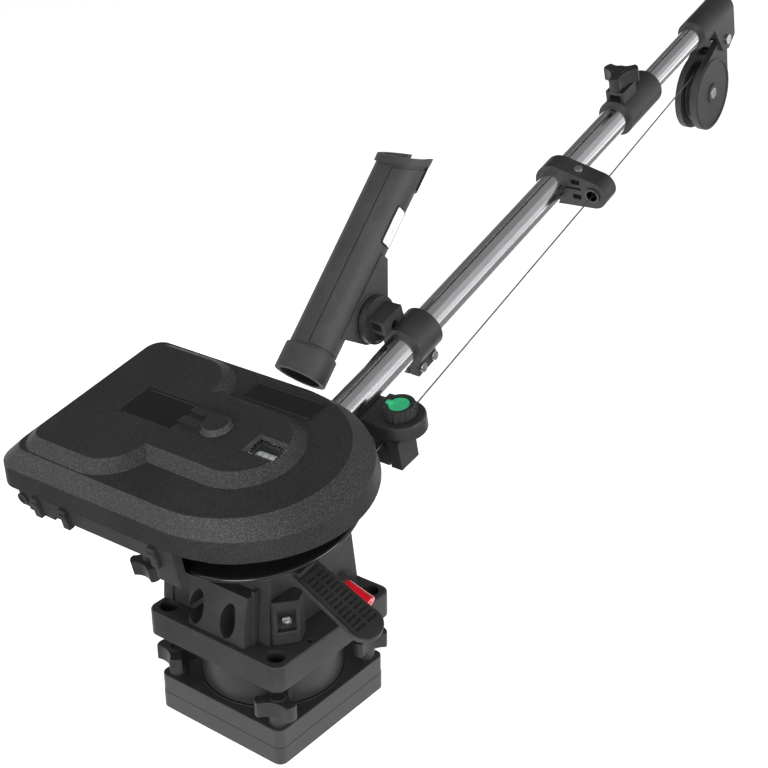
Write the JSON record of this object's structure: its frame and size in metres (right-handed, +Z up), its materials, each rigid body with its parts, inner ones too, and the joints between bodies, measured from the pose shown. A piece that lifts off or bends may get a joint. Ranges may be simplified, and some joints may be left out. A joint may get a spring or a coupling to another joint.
{
  "type": "downrigger",
  "caption": "Electric downrigger: a swivel pedestal carries a lidded line winch with lever and switch, a telescoping chrome boom with guide and pulley, and a tilting rod holder.",
  "frame": {"origin": "centre of the deck plate's bottom face, where it meets the deck", "axes": "+Z up; +X outward along the boom's plan direction; +Y towards the motor end of the winch lid"},
  "size_m": [0.9642, 0.3788, 0.554],
  "materials": {
    "molded_black": "satin",
    "knob_black": "satin",
    "lid_black": "fine grain",
    "rod_holder_black": "fine grain",
    "spool_black": "gloss",
    "boom_chrome": "polished",
    "steel": "brushed",
    "line": "dull",
    "motor_paint": "satin",
    "belt_rubber": "matt",
    "sheave_plastic": "satin",
    "red_plastic": "gloss",
    "green_plastic": "satin",
    "counter_white": "satin",
    "window_clear": "clear"
  },
  "bodies": {
    "base": {"deck_plate": "molded_black", "swivel_flange": "molded_black", "pivot_post": "steel", "clamp_studs": "steel"},
    "turntable": {"swivel_drum": "molded_black", "swivel_plate": "molded_black", "right_cheek": "molded_black", "left_cheek": "molded_black", "pedestal_walls": "molded_black", "tunnel_block": "molded_black", "lock_block": "molded_black", "bridge_plate": "molded_black", "spool_shaft": "steel", "drive_belt": "belt_rubber", "winch_bracket": "steel", "motor": "motor_paint", "counter_case": "molded_black", "window_pane": "window_clear", "chassis_tray": "molded_black", "chassis_neck": "molded_black", "lid": "lid_black", "boom_saddle": "molded_black", "switch_deck": "molded_black", "outer_tube": "boom_chrome", "collar": "molded_black", "fairlead": "molded_black", "fairlead_ring": "steel", "boom_screws": "steel", "clamp_sleeve": "molded_black", "clamp_arm": "molded_black", "rod_pivot_bolt": "steel", "line_low": "line"},
    "clamp_knob_1_body": {"clamp_knob_1": "knob_black"},
    "clamp_knob_2_body": {"clamp_knob_2": "knob_black"},
    "clamp_knob_3_body": {"clamp_knob_3": "knob_black"},
    "clamp_knob_4_body": {"clamp_knob_4": "knob_black"},
    "lock_pin_body": {"lock_pin": "steel", "lock_pin_knob": "red_plastic"},
    "spool_body": {"spool": "spool_black", "line_winding": "line", "spool_pulley": "spool_black"},
    "motor_pulley_body": {"motor_pulley": "steel"},
    "counter_body": {"counter_wheels": "counter_white"},
    "lever_body": {"brake_lever": "molded_black", "lever_pad": "belt_rubber"},
    "plug_body": {"crank_plug": "lid_black"},
    "tray_knob_body": {"tray_knob": "knob_black"},
    "switch_body": {"switch_knob": "molded_black", "switch_insert": "green_plastic"},
    "boom_inner": {"inner_tube": "boom_chrome", "boom_head": "molded_black", "head_bolt": "steel", "line_high": "line"},
    "boom_lock_body": {"boom_lock_knob": "knob_black"},
    "pulley_block": {"side_plate_near": "molded_black", "side_plate_far": "molded_black", "sheave_pin": "steel"},
    "sheave_body": {"sheave": "sheave_plastic"},
    "rod_holder": {"rod_tube": "rod_holder_black", "rod_gusset": "rod_holder_black"}
  },
  "joints": [
    {"name": "swivel", "type": "hinge", "parent": "base", "child": "turntable", "pos_m": [0, 0, 0.06], "axis": [0, 0, 1], "continuous": true},
    {"name": "clamp_knob_1_turn", "type": "hinge", "parent": "base", "child": "clamp_knob_1_body", "pos_m": [-0.062, -0.062, 0.055], "axis": [0, 0, 1], "range_deg": [0, 360]},
    {"name": "clamp_knob_2_turn", "type": "hinge", "parent": "base", "child": "clamp_knob_2_body", "pos_m": [0.062, -0.062, 0.055], "axis": [0, 0, 1], "range_deg": [0, 360]},
    {"name": "clamp_knob_3_turn", "type": "hinge", "parent": "base", "child": "clamp_knob_3_body", "pos_m": [0.062, 0.062, 0.055], "axis": [0, 0, 1], "range_deg": [0, 360]},
    {"name": "clamp_knob_4_turn", "type": "hinge", "parent": "base", "child": "clamp_knob_4_body", "pos_m": [-0.062, 0.062, 0.055], "axis": [0, 0, 1], "range_deg": [0, 360]},
    {"name": "lock_pin_pull", "type": "slide", "parent": "turntable", "child": "lock_pin_body", "axis": [0, -0.9397, -0.342], "range_m": [0, 0.01], "stiffness_N_per_m": 400, "springref_m": -0.003},
    {"name": "spool_spin", "type": "hinge", "parent": "turntable", "child": "spool_body", "pos_m": [-0.01175, 0, 0.22323], "axis": [-0.225, 0, 0.9744], "continuous": true},
    {"name": "motor_spin", "type": "hinge", "parent": "turntable", "child": "motor_pulley_body", "pos_m": [-0.01715, 0.14, 0.24662], "axis": [-0.225, 0, 0.9744], "continuous": true},
    {"name": "counter_spin", "type": "hinge", "parent": "turntable", "child": "counter_body", "pos_m": [-0.02142, -0.028, 0.26513], "axis": [0, 1, 0], "continuous": true},
    {"name": "lever_swing", "type": "hinge", "parent": "turntable", "child": "lever_body", "pos_m": [-0.00613, 0, 0.19887], "axis": [-0.225, 0, 0.9744], "range_deg": [-25, 40]},
    {"name": "plug_pull", "type": "slide", "parent": "turntable", "child": "plug_body", "axis": [-0.225, 0, 0.9744], "range_m": [0, 0.012]},
    {"name": "tray_knob_turn", "type": "hinge", "parent": "turntable", "child": "tray_knob_body", "pos_m": [-0.09397, 0.054, 0.17038], "axis": [-0.225, 0, 0.9744], "range_deg": [0, 360]},
    {"name": "switch_turn", "type": "hinge", "parent": "turntable", "child": "switch_body", "pos_m": [0.10667, -0.07, 0.27931], "axis": [-0.225, 0, 0.9744], "range_deg": [-35, 35]},
    {"name": "boom_extend", "type": "slide", "parent": "turntable", "child": "boom_inner", "axis": [0.9397, 0, 0.342], "range_m": [0, 0.45], "deforming": ["line_high"]},
    {"name": "boom_lock_turn", "type": "hinge", "parent": "turntable", "child": "boom_lock_body", "pos_m": [0.57725, -0.02, 0.49089], "axis": [-0.342, 0, 0.9397], "range_deg": [0, 360]},
    {"name": "pulley_swing", "type": "hinge", "parent": "boom_inner", "child": "pulley_block", "pos_m": [0.8098, -0.02, 0.50104], "axis": [0, 1, 0], "range_deg": [-45, 10]},
    {"name": "sheave_spin", "type": "hinge", "parent": "pulley_block", "child": "sheave_body", "pos_m": [0.792, -0.02, 0.438], "axis": [0, 1, 0], "continuous": true},
    {"name": "rod_holder_tilt", "type": "hinge", "parent": "turntable", "child": "rod_holder", "pos_m": [0.176, 0.015, 0.326], "axis": [0, 1, 0], "range_deg": [-45, 45]}
  ],
  "couplings": [
    {"joint": "motor_spin", "follows": "spool_spin", "ratio": 2.8333},
    {"joint": "counter_spin", "follows": "spool_spin", "ratio": 0.1}
  ]
}
